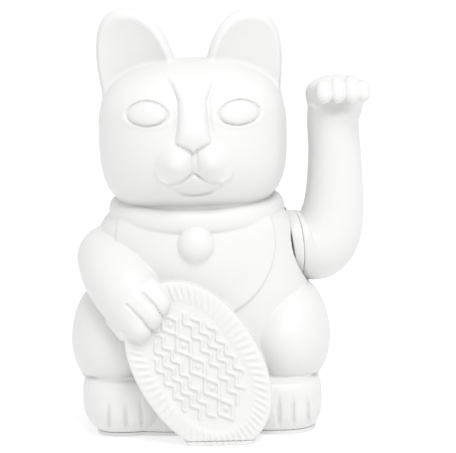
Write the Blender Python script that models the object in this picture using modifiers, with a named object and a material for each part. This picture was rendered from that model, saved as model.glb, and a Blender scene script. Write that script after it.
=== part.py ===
"""Beckoning cat figurine whose raised arm is waved by a battery-driven pendulum.

Metres, +Z up. The cat faces -Y and its raised arm is on +X. The origin is the centre of the base,
on the surface that the cat stands on. The hollow body is moulded as a front and a rear half that
meet on the plane Y = 0, and everything inside it stands on the base plate.
"""

import math

import bmesh
import bpy
from mathutils import Matrix, Vector


def mm(*values):
    """Millimetres as metres: one number, or a Vector of two or three."""
    scaled = [value * 0.001 for value in values]
    return scaled[0] if len(scaled) == 1 else Vector(scaled)


# Driving dimensions of the mouldings.
WALL = mm(2.0)
ARM_WALL = mm(1.5)
TOUCH_GAP = mm(0.3)  # between pieces that meet face to face
FIT_GAP = mm(0.1)  # around pins and in sockets
FLANGE_TOP = mm(1.2)  # the base plate's visible edge
SHELL_BOTTOM = FLANGE_TOP + TOUCH_GAP
PLUG_TOP = mm(2.6)  # the base plate's inner face
PLUG_CLEARANCE = mm(0.4)

# The arm's pivot, which runs along X.
PIVOT_Z = mm(63.6)
SWING_RADIUS = mm(13.9)  # the round pocket that the shoulder turns in
POCKET_X = mm(29.4)  # the pocket's flat wall
HUB_RADIUS = mm(12.3)
HUB_PLANE = mm(32.8, 0, 63.6)  # the hub's face towards the body
HUB_NORMAL = Vector((1, 0.1, 0.12)).normalized()
SHOULDER_PLANE = mm(34.95, 0, 63.6)  # where the hub meets the arm shells
SHOULDER_NORMAL = Vector((1, 0.22, 0.03)).normalized()
AXLE_RADIUS = mm(1.5)
AXLE_ENDS_X = (mm(6.6), mm(40.0))
ARM_PIVOT = mm(34.3, 0, 63.6)  # a point on the axle

# The movement, between two frame walls.
FRAME_INNER_WALL_X = (mm(10.0), mm(12.0))
FRAME_OUTER_WALL_X = (mm(25.0), mm(27.0))
FRAME_FLOOR_Z = (mm(5.0), mm(6.6))
LEVER_X = mm(18.5)
COUNTERWEIGHT_RADIUS = mm(5.5)
COUNTERWEIGHT_CENTRE = mm(18.5, 0.8, 36.0)
MAGNET_RADIUS = mm(4.8)
MAGNET_Z = (mm(20.0), mm(24.4))

# The AA cell lies along X at the rear of the base.
CELL_RADIUS = mm(7.1)
CELL_CENTRE_Y = mm(17.6)
CELL_CENTRE_Z = PLUG_TOP + mm(0.6) + CELL_RADIUS
CELL_ENDS_X = (mm(-25.2), mm(24.2))
TRAY_ENDS_X = (mm(-28.5), mm(26.3))
DOOR_HINGE = (TRAY_ENDS_X[0] + mm(1.1), mm(1.3))  # X and Z
DOOR_Y = (CELL_CENTRE_Y - mm(7.6), CELL_CENTRE_Y + mm(7.6))
DOOR_Z = (mm(0.5), mm(2.1))
DOOR_PIN_RADIUS = mm(0.5)

SCREW_PLACES = {
    "base_screw_1": mm(34.0, -12.0),
    "base_screw_2": mm(-34.0, -12.0),
    "base_screw_3": mm(33.5, 10.0),
    "base_screw_4": mm(-33.5, 10.0),
}
FRAME_SCREW_PLACES = {"frame_screw_1": mm(14.8, -16.0), "frame_screw_2": mm(22.2, -16.0)}
SCREW_SHANK = mm(1.1)
SCREW_HEAD = mm(2.3)
SCREW_HEAD_HEIGHT = mm(1.2)

FAR = mm(200)  # past every side of the cat

for old in list(bpy.data.objects):
    bpy.data.objects.remove(old, do_unlink=True)
PARTS = bpy.data.collections.new("beckoning_cat")
bpy.context.scene.collection.children.link(PARTS)


def material(name, colour, roughness, metallic=0.0):
    made = bpy.data.materials.new(name)
    made.use_nodes = True
    shader = made.node_tree.nodes["Principled BSDF"]
    shader.inputs["Base Color"].default_value = (*colour, 1)
    shader.inputs["Roughness"].default_value = roughness
    shader.inputs["Metallic"].default_value = metallic
    return made


WHITE = material("white_plastic", (0.92, 0.92, 0.92), 0.35)
IVORY = material("movement_plastic", (0.8, 0.8, 0.76), 0.5)
STEEL = material("steel", (0.6, 0.6, 0.62), 0.3, 1)
BRASS = material("brass", (0.75, 0.6, 0.3), 0.35, 1)
COPPER = material("copper_wire", (0.72, 0.35, 0.18), 0.35, 1)
BOARD = material("circuit_board", (0.05, 0.25, 0.1), 0.5)
BLACK = material("black_plastic", (0.03, 0.03, 0.03), 0.5)
RED = material("red_insulation", (0.6, 0.03, 0.03), 0.5)
CELL = material("cell_sleeve", (0.08, 0.1, 0.16), 0.3)


# Making solids


def object_from(bm, name, finish=WHITE, place=None):
    """A mesh object from bm, moved by the matrix place. Ends bm."""
    mesh = bpy.data.meshes.new(name)
    if place is not None:
        bm.transform(place)
    bmesh.ops.recalc_face_normals(bm, faces=bm.faces)
    if bm.calc_volume(signed=True) < 0:
        bmesh.ops.reverse_faces(bm, faces=bm.faces)
    bm.to_mesh(mesh)
    bm.free()
    mesh.materials.append(finish)
    made = bpy.data.objects.new(name, mesh)
    PARTS.objects.link(made)
    return made


def box(name, low, high, finish=WHITE):
    bm = bmesh.new()
    bmesh.ops.create_cube(bm, size=1)
    low, high = Vector(low), Vector(high)
    place = Matrix.Translation((low + high) / 2) @ Matrix.Diagonal((*(high - low), 1))
    return object_from(bm, name, finish, place)


def rod(name, start, end, radius, finish=WHITE, sides=24, end_radius=None):
    """A cylinder or cone from start to end."""
    start, end = Vector(start), Vector(end)
    along = end - start
    bm = bmesh.new()
    bmesh.ops.create_cone(
        bm,
        cap_ends=True,
        segments=sides,
        radius1=radius,
        radius2=radius if end_radius is None else end_radius,
        depth=along.length,
    )
    turn = along.to_track_quat("Z", "Y").to_matrix().to_4x4()
    return object_from(bm, name, finish, Matrix.Translation((start + end) / 2) @ turn)


def ellipsoid(name, centre, radii, tilt=(0, 0, 0), segments=24, rings=14):
    """A UV sphere stretched to radii. tilt turns it about X, Y and Z, in degrees."""
    bm = bmesh.new()
    bmesh.ops.create_uvsphere(bm, u_segments=segments, v_segments=rings, radius=1)
    turn = Matrix.Identity(4)
    for axis, angle in zip("XYZ", tilt):
        turn = Matrix.Rotation(math.radians(angle), 4, axis) @ turn
    place = Matrix.Translation(centre) @ turn @ Matrix.Diagonal((*radii, 1))
    return object_from(bm, name, WHITE, place)


def loft(name, sections, centre_x=0.0, squareness=2.4, segments=32):
    """Rings of rounded-box outline, one for each (z, half_width, front, back), with closed ends."""
    bm = bmesh.new()
    rings = []
    for z, half_width, front, back in sections:
        ring = []
        for step in range(segments):
            angle = 2 * math.pi * step / segments
            c, s = math.cos(angle), math.sin(angle)
            x = math.copysign(abs(c) ** (2 / squareness), c) * half_width
            depth = back if s > 0 else front
            y = math.copysign(abs(s) ** (2 / squareness), s) * depth
            ring.append(bm.verts.new((centre_x + x, y, z)))
        rings.append(ring)
    for lower, upper in zip(rings, rings[1:]):
        for step in range(segments):
            following = (step + 1) % segments
            bm.faces.new((lower[step], lower[following], upper[following], upper[step]))
    bm.faces.new(reversed(rings[0]))
    bm.faces.new(rings[-1])
    return object_from(bm, name)


def swept(name, centres, radii, sides=20, cap_steps=4):
    """Round rings along centres, perpendicular to the path, with a dome on each end."""
    first_way = (centres[1] - centres[0]).normalized()
    last_way = (centres[-1] - centres[-2]).normalized()
    stations = []
    for step in range(1, cap_steps):
        angle = 0.5 * math.pi * step / cap_steps
        back, shrink = math.cos(angle), math.sin(angle)
        stations.append((centres[0] - first_way * radii[0] * back, radii[0] * shrink, first_way))
    for index, (centre, radius) in enumerate(zip(centres, radii)):
        before = centres[max(index - 1, 0)]
        after = centres[min(index + 1, len(centres) - 1)]
        stations.append((centre, radius, (after - before).normalized()))
    for step in range(1, cap_steps):
        angle = 0.5 * math.pi * step / cap_steps
        ahead, shrink = math.sin(angle), math.cos(angle)
        stations.append((centres[-1] + last_way * radii[-1] * ahead, radii[-1] * shrink, last_way))
    bm = bmesh.new()
    turn = first_way.to_track_quat("Z", "Y")
    way = first_way
    rings = []
    for centre, radius, heading in stations:
        turn = way.rotation_difference(heading) @ turn
        way = heading
        ring = []
        for step in range(sides):
            angle = 2 * math.pi * step / sides
            spoke = Vector((math.cos(angle) * radius, math.sin(angle) * radius, 0))
            ring.append(bm.verts.new(centre + turn @ spoke))
        rings.append(ring)
    for lower, upper in zip(rings, rings[1:]):
        for step in range(sides):
            following = (step + 1) % sides
            bm.faces.new((lower[step], lower[following], upper[following], upper[step]))
    bm.faces.new(reversed(rings[0]))
    bm.faces.new(rings[-1])
    return object_from(bm, name)


def turned(name, outline, base, axis, finish, steps=20):
    """A solid of revolution: outline is (radius, height) pairs up from base along axis."""
    bm = bmesh.new()
    verts = [bm.verts.new((radius, 0, height)) for radius, height in outline]
    edges = [bm.edges.new(pair) for pair in zip(verts, verts[1:])]
    bmesh.ops.spin(
        bm,
        geom=verts + edges,
        cent=(0, 0, 0),
        axis=(0, 0, 1),
        angle=2 * math.pi,
        steps=steps,
    )
    bmesh.ops.remove_doubles(bm, verts=bm.verts, dist=mm(0.001))
    turn = Vector(axis).to_track_quat("Z", "Y").to_matrix().to_4x4()
    return object_from(bm, name, finish, Matrix.Translation(base) @ turn)


def flattened(made):
    """Replaces made's mesh with its evaluated one, so that its modifiers and cutters can go."""
    bpy.context.view_layer.update()
    graph = bpy.context.evaluated_depsgraph_get()
    mesh = bpy.data.meshes.new_from_object(made.evaluated_get(graph))
    made.modifiers.clear()
    made.data = mesh
    return made


def combine(target, others, operation):
    """Joins, cuts or intersects target with each of others, which are used up."""
    for other in others:
        step = target.modifiers.new(operation.lower(), "BOOLEAN")
        step.operation = operation
        step.object = other
    flattened(target)
    for other in others:
        bpy.data.objects.remove(other, do_unlink=True)
    return target


def join(target, *others):
    return combine(target, others, "UNION")


def cut(target, *others):
    return combine(target, others, "DIFFERENCE")


def keep_inside(target, other):
    return combine(target, [other], "INTERSECT")


def duplicate(source, name):
    copied = source.copy()
    copied.data = source.data.copy()
    copied.name = name
    PARTS.objects.link(copied)
    return copied


def renamed(made, name, finish=WHITE):
    made.name = name
    made.data.materials.clear()
    made.data.materials.append(finish)
    made.data.shade_smooth()
    made.data.set_sharp_from_angle(angle=math.radians(35))
    return made


def pivoted(made, pivot):
    """Moves made's origin onto its joint's axis, and leaves its shape where it is."""
    made.data.transform(Matrix.Translation(-pivot))
    made.location = pivot
    return made


def smooth_path(points, steps):
    """Points along a Catmull-Rom curve through points, steps to each stretch."""
    ends = [points[0] * 2 - points[1], *points, points[-1] * 2 - points[-2]]
    path = []
    for a, b, c, d in zip(ends, ends[1:], ends[2:], ends[3:]):
        for step in range(steps):
            t = step / steps
            path.append(
                0.5 * (2 * b + (c - a) * t + (2 * a - 5 * b + 4 * c - d) * t**2)
                + 0.5 * (3 * b - a - 3 * c + d) * t**3
            )
    return [*path, points[-1]]


def wire(name, path, radius, finish, sides_level=1):
    """A tube along path: a POLY curve with a round bevel, made a closed mesh."""
    data = bpy.data.curves.new(name, "CURVE")
    data.dimensions = "3D"
    data.bevel_depth = radius
    data.bevel_resolution = sides_level
    data.use_fill_caps = True
    spline = data.splines.new("POLY")
    spline.points.add(len(path) - 1)
    for point, place in zip(spline.points, path):
        point.co = (*place, 1)
    guide = bpy.data.objects.new(name + "_curve", data)
    PARTS.objects.link(guide)
    bpy.context.view_layer.update()
    graph = bpy.context.evaluated_depsgraph_get()
    mesh = bpy.data.meshes.new_from_object(guide.evaluated_get(graph))
    bm = bmesh.new()
    bm.from_mesh(mesh)
    bpy.data.objects.remove(guide, do_unlink=True)
    bpy.data.meshes.remove(mesh)
    bmesh.ops.remove_doubles(bm, verts=bm.verts, dist=mm(0.001))
    return object_from(bm, name, finish)


# The cat's outer form. Each form takes an inset, so that the same shapes, one wall thickness
# smaller, are the hollow inside the shells.

HEAD_X = mm(-1.0)
TORSO_SECTIONS = (  # height, half width, front and back, in millimetres
    (-3, 39.0, 24.0, 37.0),
    (8, 41.5, 26.0, 39.5),
    (22, 42.0, 28.0, 40.0),
    (36, 41.0, 29.0, 38.5),
    (50, 39.6, 29.0, 34.5),
    (57, 38.4, 28.3, 31.3),
    (60, 37.9, 28.0, 30.0),
    (66, 36.7, 27.5, 28.0),
    (73, 35.1, 27.0, 26.0),
    (76.5, 31.8, 26.0, 25.0),
    (81, 25.5, 23.0, 22.5),
    (88, 20.0, 19.0, 18.0),
)
HEAD_HEIGHTS = (78, 80, 83, 88, 95, 103, 111, 118, 124, 128, 130.4, 131.5)
FOOT_HEIGHTS = (-1.5, 1, 4, 8, 12, 17, 20, 22)


def loft_form(name, sections, centre_x, inset, squareness):
    """The sections in millimetres, each pulled in by inset on every side."""
    rings = []
    lowest, highest = sections[0][0], sections[-1][0]
    for z, half_width, front, back in sections:
        share = (2 * z - lowest - highest) / (highest - lowest)
        rings.append(
            (mm(z) - inset * share, *(max(mm(v) - inset, mm(1)) for v in (half_width, front, back)))
        )
    return loft(name, rings, centre_x, squareness)


def torso(inset):
    return loft_form("torso", TORSO_SECTIONS, 0.0, inset, 2.3)


def rounded_sections(heights, middle, below, above, bend_below, bend_above, outline):
    """Sections of a rounded block that reaches below and above its middle height.

    The bends say how square its sides are, and outline is its half width, front and back.
    """
    sections = []
    for z in heights:
        share, bend = ((z - middle) / above, bend_above)
        if z < middle:
            share, bend = ((middle - z) / below, bend_below)
        level = (1 - share**bend) ** (1 / bend)
        sections.append((z, *(size * level for size in outline)))
    return sections


def head(inset):
    sections = rounded_sections(
        HEAD_HEIGHTS, 107.3, 30.5, 24.3, 3.6, 2.45, (33.5, 31.5, 28.8)
    )
    return loft_form("head", sections, HEAD_X, inset, 2.6)


def thigh(side, inset):
    shrink = Vector((inset,) * 3)
    return ellipsoid(
        "thigh", mm(side * 30.4, -5.5, 32), mm(15.9, 24.5, 20.6) - shrink, (0, side * 6, 0)
    )


def foot(side, inset):
    """A rounded block from the base up to the thigh."""
    sections = rounded_sections(FOOT_HEIGHTS, 12, 14, 11, 2.8, 4.0, (15.4, 18.4, 18.4))
    made = loft_form("foot", sections, mm(side * 27.2), inset, 2.6)
    made.data.transform(Matrix.Translation(mm(0, -12.0, 0)))
    return made


def resting_arm(inset):
    """The arm on -X, from the shoulder down to the paw on the coin."""
    reach = smooth_path([mm(-31.2, -4, 60.8), mm(-29, -17, 57), mm(-20.5, -32, 47)], 4)
    radii = (12.4, 12.4, 12.3, 12.3, 12.2, 12.0, 11.6, 11.1, 10.6)
    return swept("arm", reach, [mm(radius) - inset for radius in radii])


def coin(inset):
    """The tall oval coin, which stands on the base and leans back on the belly."""
    bm = bmesh.new()
    bmesh.ops.create_cone(bm, cap_ends=True, segments=40, radius1=1, radius2=1, depth=1)
    size = (mm(21.6) - inset, mm(32.3) - inset, mm(24) - inset * 2)
    place = (
        Matrix.Translation(mm(-1.0, -27.9, 26.2))
        @ Matrix.Rotation(math.radians(84), 4, "X")
        @ Matrix.Rotation(math.radians(32), 4, "Z")
        @ Matrix.Diagonal((*size, 1))
    )
    return object_from(bm, "coin", WHITE, place)


def belly(inset):
    shrink = Vector((inset,) * 3)
    return ellipsoid("belly", mm(1, -6.5, 62), mm(27, 26.5, 24) - shrink)


def ear(side):
    """A tall rounded ear, swept back at its outer edge, with its hollow facing the front."""
    height = 28.0 if side < 0 else 26.4
    blade = ellipsoid("ear", mm(0, 0, 0), mm(14.7, 8.0, height), segments=24)
    bowl = ellipsoid("ear_bowl", mm(2.0, -7.4, -0.5), mm(15.9, 6.9, height + 0.4), segments=24)
    made = cut(blade, bowl)
    sweep = Matrix(((1, 0, 0.08, 0), (0.28, 1, 0, 0), (0, 0, 1, 0), (0, 0, 0, 1)))
    mirror = Matrix.Diagonal((side, 1, 1, 1))
    place = Matrix.Translation(Vector((HEAD_X + mm(side * 19.4), mm(-2.0), mm(122.0))))
    bm = bmesh.new()
    bm.from_mesh(made.data)
    bpy.data.objects.remove(made, do_unlink=True)
    return object_from(bm, "ear", WHITE, place @ mirror @ sweep)


def collar():
    """A rounded band round the neck."""
    bpy.ops.mesh.primitive_torus_add(
        major_segments=36, minor_segments=10, major_radius=1, minor_radius=mm(3.9) / mm(27.3)
    )
    ring = bpy.context.active_object
    bm = bmesh.new()
    bm.from_mesh(ring.data)
    bpy.data.objects.remove(ring, do_unlink=True)
    stretch = Matrix.Diagonal((*mm(27.3, 26.6, 27.3), 1))
    lean = Matrix.Rotation(math.radians(3.7), 4, "X")
    place = Matrix.Translation(mm(-0.4, -0.8, 78.0)) @ lean @ stretch
    return object_from(bm, "collar", WHITE, place)


def bell():
    return ellipsoid("bell", mm(-0.6, -29.6, 68.8), mm(6.6, 5.8, 6.6), segments=24, rings=12)


def tail():
    """The tail, curled round the right side of the seat."""
    reach = smooth_path([mm(2, 38, 9), mm(14, 38, 10), mm(26, 31.8, 15), mm(31, 25, 24)], 3)
    return swept("tail", reach, [mm(5.2)] * len(reach), sides=14)


def shoulder_pocket(inset):
    """The round pocket beside the raised arm, which the hub and the shoulder turn in."""
    start = Vector((POCKET_X - inset, 0, PIVOT_Z))
    return rod("pocket", start, start + mm(60, 0, 0), SWING_RADIUS + inset, sides=40)


def hollow_form(inset):
    """Everything that has a hollow inside it, at this inset."""
    forms = [torso(inset), head(inset), belly(inset), coin(inset), resting_arm(inset)]
    forms += [made for side in (-1, 1) for made in (thigh(side, inset), foot(side, inset))]
    return cut(join(*forms), shoulder_pocket(inset))


def whole_form():
    trims = [ear(-1), ear(1), collar(), bell(), tail()]
    return cut(join(hollow_form(0.0), *trims), shoulder_pocket(0.0))


def slab(name, low_z, high_z):
    return box(name, (-FAR, -FAR, low_z), (FAR, FAR, high_z))


def screw_boss(place):
    """A pillar and a web that tie a screw to the shell's side wall."""
    x, y = place
    outward = math.copysign(1, x)
    top = mm(17)
    pillar = rod(
        "boss",
        (x, y, PLUG_TOP + TOUCH_GAP),
        (x, y, top),
        mm(3.2),
    )
    reach = x + outward * mm(7.5)
    web = box(
        "web",
        (min(x, reach), y - mm(1), PLUG_TOP + TOUCH_GAP),
        (max(x, reach), y + mm(1), top - mm(1)),
    )
    return join(pillar, web)


def shells():
    """The body's front and rear halves."""
    outer = cut(whole_form(), slab("below", -FAR, SHELL_BOTTOM))
    bosses = [screw_boss(place) for place in SCREW_PLACES.values()]
    body = cut(outer, hollow_form(WALL))
    body = join(body, *[keep_inside(boss, duplicate(OUTLINE, "outline")) for boss in bosses])
    for place in SCREW_PLACES.values():
        pilot_top = (*place, mm(13.5))
        body = cut(body, rod("pilot", (*place, 0), pilot_top, SCREW_SHANK + FIT_GAP, sides=16))
    axle_hole = rod("axle_hole", (mm(20), 0, PIVOT_Z), (mm(40), 0, PIVOT_Z), mm(4.5))
    body = cut(body, axle_hole)
    half_gap = mm(0.05)
    rear = duplicate(body, "rear")
    renamed(cut(body, box("rear_side", (-FAR, -half_gap, -FAR), (FAR, FAR, FAR))), "front_shell")
    renamed(cut(rear, box("front_side", (-FAR, -FAR, -FAR), (FAR, half_gap, FAR))), "rear_shell")


def screw(name, head_base, axis, length):
    """A pan-head self-tapping screw with a cross recess. head_base is under its head."""
    outline = (
        (0, -length),
        (mm(0.4), -length),
        (SCREW_SHANK, -length + mm(1.5)),
        (SCREW_SHANK, 0),
        (SCREW_HEAD, 0),
        (SCREW_HEAD, SCREW_HEAD_HEIGHT * 0.5),
        (SCREW_HEAD * 0.75, SCREW_HEAD_HEIGHT),
        (0, SCREW_HEAD_HEIGHT),
    )
    made = turned(name, outline, head_base, axis, STEEL, steps=16)
    centre = Vector(head_base) + Vector(axis) * SCREW_HEAD_HEIGHT
    for long_side in ((mm(1.5), mm(0.3)), (mm(0.3), mm(1.5))):
        half = Vector((*long_side, mm(0.7)))
        made = cut(made, box("recess", centre - half, centre + half))
    return renamed(made, name, STEEL)


def base_plate():
    """The plate that closes the bottom, with the battery tray and the movement's posts."""
    flange = keep_inside(duplicate(OUTLINE, "flange"), slab("flange_slab", 0, FLANGE_TOP))
    plug = keep_inside(hollow_form(WALL + PLUG_CLEARANCE), slab("plug", mm(0.6), PLUG_TOP))
    made = join(flange, plug)
    low_x, high_x = TRAY_ENDS_X
    low_y, high_y = DOOR_Y
    thick = mm(1.4)
    wall_base = PLUG_TOP - mm(0.6)
    side_top = CELL_CENTRE_Z + mm(1)
    end_top = CELL_CENTRE_Z + mm(5)
    tray = box(
        "tray",
        (low_x - thick, low_y - thick, wall_base),
        (high_x + thick, high_y + thick, end_top),
    )
    tray = keep_inside(tray, hollow_form(WALL + PLUG_CLEARANCE))
    low_sides = box(
        "low_sides",
        (low_x + mm(2.6), low_y - mm(5), side_top),
        (high_x - mm(2.6), high_y + mm(5), end_top + mm(5)),
    )
    tray = cut(tray, low_sides)
    posts = [
        rod("post", (*place, wall_base), (*place, FRAME_FLOOR_Z[0] - TOUCH_GAP), mm(2.6), sides=16)
        for place in FRAME_SCREW_PLACES.values()
    ]
    made = join(made, tray, *posts)
    hinge_x, hinge_z = DOOR_HINGE
    bay = box("bay", (low_x, low_y, -mm(1)), (high_x, high_y, end_top + mm(5)))
    hinge_bore = rod(
        "hinge_bore",
        (hinge_x, low_y - mm(1.3), hinge_z),
        (hinge_x, high_y + mm(1.3), hinge_z),
        DOOR_PIN_RADIUS + mm(0.2),
        sides=12,
    )
    notch = ellipsoid("thumb_notch", (high_x + mm(1), CELL_CENTRE_Y, -mm(1)), mm(4.5, 5, 2.6))
    made = cut(made, bay, hinge_bore, notch)
    head_depth = mm(1.5)
    for place in SCREW_PLACES.values():
        made = cut(made, rod("clearance", (*place, -mm(1)), (*place, mm(5)), mm(1.4), sides=16))
        made = cut(
            made, rod("counterbore", (*place, -mm(1)), (*place, head_depth), mm(2.7), sides=16)
        )
    for place in FRAME_SCREW_PLACES.values():
        pilot = SCREW_SHANK + FIT_GAP
        made = cut(made, rod("pilot", (*place, mm(1.2)), (*place, mm(9)), pilot, sides=16))
    renamed(made, "base_plate")
    for name, place in SCREW_PLACES.items():
        screw(name, (*place, head_depth - mm(0.1)), (0, 0, -1), mm(10))
    for name, place in FRAME_SCREW_PLACES.items():
        screw(name, (*place, FRAME_FLOOR_Z[1] + FIT_GAP), (0, 0, 1), mm(4.8))


def battery_door():
    """The door under the cell. It turns down about a pin at each corner of its -X end."""
    low_x, high_x = TRAY_ENDS_X
    low_y, high_y = DOOR_Y
    hinge_x, hinge_z = DOOR_HINGE
    side_gap = mm(0.5)
    plate = box(
        "door",
        (low_x + side_gap, low_y + side_gap, DOOR_Z[0]),
        (high_x - side_gap, high_y - side_gap, DOOR_Z[1]),
    )
    edge = plate.modifiers.new("edge", "BEVEL")
    edge.width = mm(0.25)
    edge.segments = 1
    flattened(plate)
    pins = rod(
        "pins",
        (hinge_x, low_y - mm(1.0), hinge_z),
        (hinge_x, high_y + mm(1.0), hinge_z),
        DOOR_PIN_RADIUS,
        sides=12,
    )
    grips = [
        rod(
            "grip",
            (high_x - mm(3 + 1.5 * step), CELL_CENTRE_Y - mm(4), DOOR_Z[0]),
            (high_x - mm(3 + 1.5 * step), CELL_CENTRE_Y + mm(4), DOOR_Z[0]),
            mm(0.35),
            sides=8,
        )
        for step in range(3)
    ]
    door = renamed(cut(join(plate, pins), *grips), "battery_door")
    pivoted(door, Vector((hinge_x, CELL_CENTRE_Y, hinge_z)))


# The raised arm


def raised_arm(inset):
    """The shoulder, the upright forearm and the paw that bends forward."""
    shrink = Vector((inset,) * 3)
    shoulder = swept(
        "shoulder",
        [mm(x, 0, 63.6) for x in (30, 35, 40, 43.4)],
        [mm(radius) - inset for radius in (12.2, 12.3, 12.5, 12.5)],
        sides=32,
        cap_steps=5,
    )
    spine = smooth_path(
        [mm(45.8, 0, 67.8), mm(48.6, 0, 80), mm(49.4, 0, 96), mm(49.5, -1, 112)], 2
    )
    radii = (12.3, 11.6, 10.9, 10.2, 9.5, 9.2, 9.3)
    forearm = swept("forearm", spine, [mm(radius) - inset for radius in radii], sides=24)
    paw = ellipsoid("paw", mm(50.5, -4.8, 118.0), mm(11.4, 11.3, 7.0) - shrink, (12, 0, 0))
    return join(shoulder, forearm, paw)


def half_space(point, normal, keep_positive):
    """A large box on one side of the plane through point."""
    bm = bmesh.new()
    bmesh.ops.create_cube(bm, size=FAR)
    direction = normal if keep_positive else -normal
    turn = direction.to_track_quat("Z", "Y").to_matrix().to_4x4()
    return object_from(bm, "half", WHITE, Matrix.Translation(point + direction * FAR / 2) @ turn)


def arm_shells():
    outside = raised_arm(0.0)
    plane = SHOULDER_PLANE + SHOULDER_NORMAL * TOUCH_GAP
    outside = keep_inside(outside, half_space(plane, SHOULDER_NORMAL, True))
    hollow = raised_arm(ARM_WALL)
    arm = cut(outside, hollow)
    half_gap = mm(0.05)
    rear = duplicate(arm, "arm_rear")
    cut(arm, box("back", (0, -half_gap, 0), (FAR, FAR, FAR)))
    cut(rear, box("fore", (0, -FAR, 0), (FAR, half_gap, FAR)))
    pivoted(renamed(arm, "arm_front_shell"), ARM_PIVOT)
    pivoted(renamed(rear, "arm_rear_shell"), ARM_PIVOT)


def arm_hub():
    """The disc that closes the shoulder, with the socket that the axle is pressed into."""
    start = (mm(28), 0, PIVOT_Z)
    disc = rod("hub", start, (mm(44), 0, PIVOT_Z), HUB_RADIUS, sides=40)
    disc = keep_inside(disc, half_space(SHOULDER_PLANE, SHOULDER_NORMAL, False))
    socket = rod("socket", start, (mm(40.6), 0, PIVOT_Z), mm(4))
    spigot = rod("spigot", start, (mm(38.4), 0, PIVOT_Z), mm(9.8), sides=32)
    made = join(disc, socket, spigot)
    made = keep_inside(made, half_space(HUB_PLANE, HUB_NORMAL, True))
    bore = rod(
        "bore",
        (mm(20), 0, PIVOT_Z),
        (AXLE_ENDS_X[1] + FIT_GAP, 0, PIVOT_Z),
        AXLE_RADIUS + FIT_GAP,
    )
    pivoted(renamed(cut(made, bore), "arm_hub"), ARM_PIVOT)


def axle_parts():
    """The steel axle, its clip and the two bushes that it runs in."""
    start, end = AXLE_ENDS_X
    axle = rod("axle", (start, 0, PIVOT_Z), (end, 0, PIVOT_Z), AXLE_RADIUS, STEEL)
    edge = axle.modifiers.new("edge", "BEVEL")
    edge.width = mm(0.2)
    edge.segments = 1
    edge.limit_method = "ANGLE"
    flattened(axle)
    groove_x = start + mm(1.0)
    groove = rod("groove", (groove_x, 0, PIVOT_Z), (groove_x + mm(0.8), 0, PIVOT_Z), mm(3))
    core = rod("core", (start - mm(1), 0, PIVOT_Z), (end, 0, PIVOT_Z), mm(1.0))
    pivoted(renamed(cut(axle, cut(groove, core)), "arm_axle", STEEL), ARM_PIVOT)
    clip_x = groove_x + FIT_GAP
    clip = rod("clip", (clip_x, 0, PIVOT_Z), (clip_x + mm(0.6), 0, PIVOT_Z), mm(3.0), STEEL)
    opening = rod("opening", (0, 0, PIVOT_Z), (mm(20), 0, PIVOT_Z), mm(1.1))
    mouth = box(
        "mouth",
        (0, -mm(0.9), PIVOT_Z - mm(5)),
        (mm(20), mm(0.9), PIVOT_Z),
    )
    pivoted(renamed(cut(clip, opening, mouth), "axle_clip", STEEL), ARM_PIVOT)
    for name, wall, outward in (
        ("inner_axle_bush", FRAME_INNER_WALL_X, -1),
        ("outer_axle_bush", FRAME_OUTER_WALL_X, 1),
    ):
        face = wall[0] if outward < 0 else wall[1]
        far_face = wall[1] if outward < 0 else wall[0]
        outline = (
            (AXLE_RADIUS + FIT_GAP, 0),
            (mm(2.8), 0),
            (mm(2.8), abs(face - far_face) + TOUCH_GAP),
            (mm(3.8), abs(face - far_face) + TOUCH_GAP),
            (mm(3.8), abs(face - far_face) + mm(1)),
            (AXLE_RADIUS + FIT_GAP, abs(face - far_face) + mm(1)),
            (AXLE_RADIUS + FIT_GAP, 0),
        )
        base = (far_face, 0, PIVOT_Z)
        renamed(turned(name, outline, base, (outward, 0, 0), BRASS, 24), name, BRASS)


def pendulum():
    """The lever that hangs from the axle, its steel counterweight and its magnet."""
    half = mm(1.5)
    hub = rod("lever", (mm(13.3), 0, PIVOT_Z), (mm(23.7), 0, PIVOT_Z), mm(3.8))
    bar = box(
        "bar",
        (LEVER_X - half, -mm(3.2), MAGNET_Z[1] + mm(1.5)),
        (LEVER_X + half, mm(3.2), PIVOT_Z),
    )
    centre = COUNTERWEIGHT_CENTRE
    along = mm(1, 0, 0)
    ring = rod("ring", centre - along * 1.5, centre + along * 1.5, COUNTERWEIGHT_RADIUS + mm(2))
    cup_top = MAGNET_Z[1] + mm(2)
    cup_base = MAGNET_Z[0] - mm(0.4)
    cup = rod("cup", (LEVER_X, 0, cup_base), (LEVER_X, 0, cup_top), MAGNET_RADIUS + mm(1.0))
    made = join(hub, bar, ring, cup)
    weight_hole = rod(
        "weight_hole", centre - along * 9, centre + along * 9, COUNTERWEIGHT_RADIUS + FIT_GAP
    )
    magnet_hole = rod(
        "magnet_hole",
        (LEVER_X, 0, MAGNET_Z[0] - mm(2)),
        (LEVER_X, 0, MAGNET_Z[1] + FIT_GAP),
        MAGNET_RADIUS + FIT_GAP,
    )
    bore = rod("bore", (mm(10), 0, PIVOT_Z), (mm(28), 0, PIVOT_Z), AXLE_RADIUS + FIT_GAP)
    lever = renamed(cut(made, weight_hole, magnet_hole, bore), "pendulum_lever", IVORY)
    weight = rod(
        "weight", centre - along * 5.4, centre + along * 5.4, COUNTERWEIGHT_RADIUS, STEEL
    )
    renamed(weight, "counterweight", STEEL)
    magnet_ends = [(LEVER_X, 0, height) for height in MAGNET_Z]
    magnet = renamed(rod("magnet", *magnet_ends, MAGNET_RADIUS), "pendulum_magnet", STEEL)
    for piece in (lever, weight, magnet):
        pivoted(piece, ARM_PIVOT)


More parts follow.
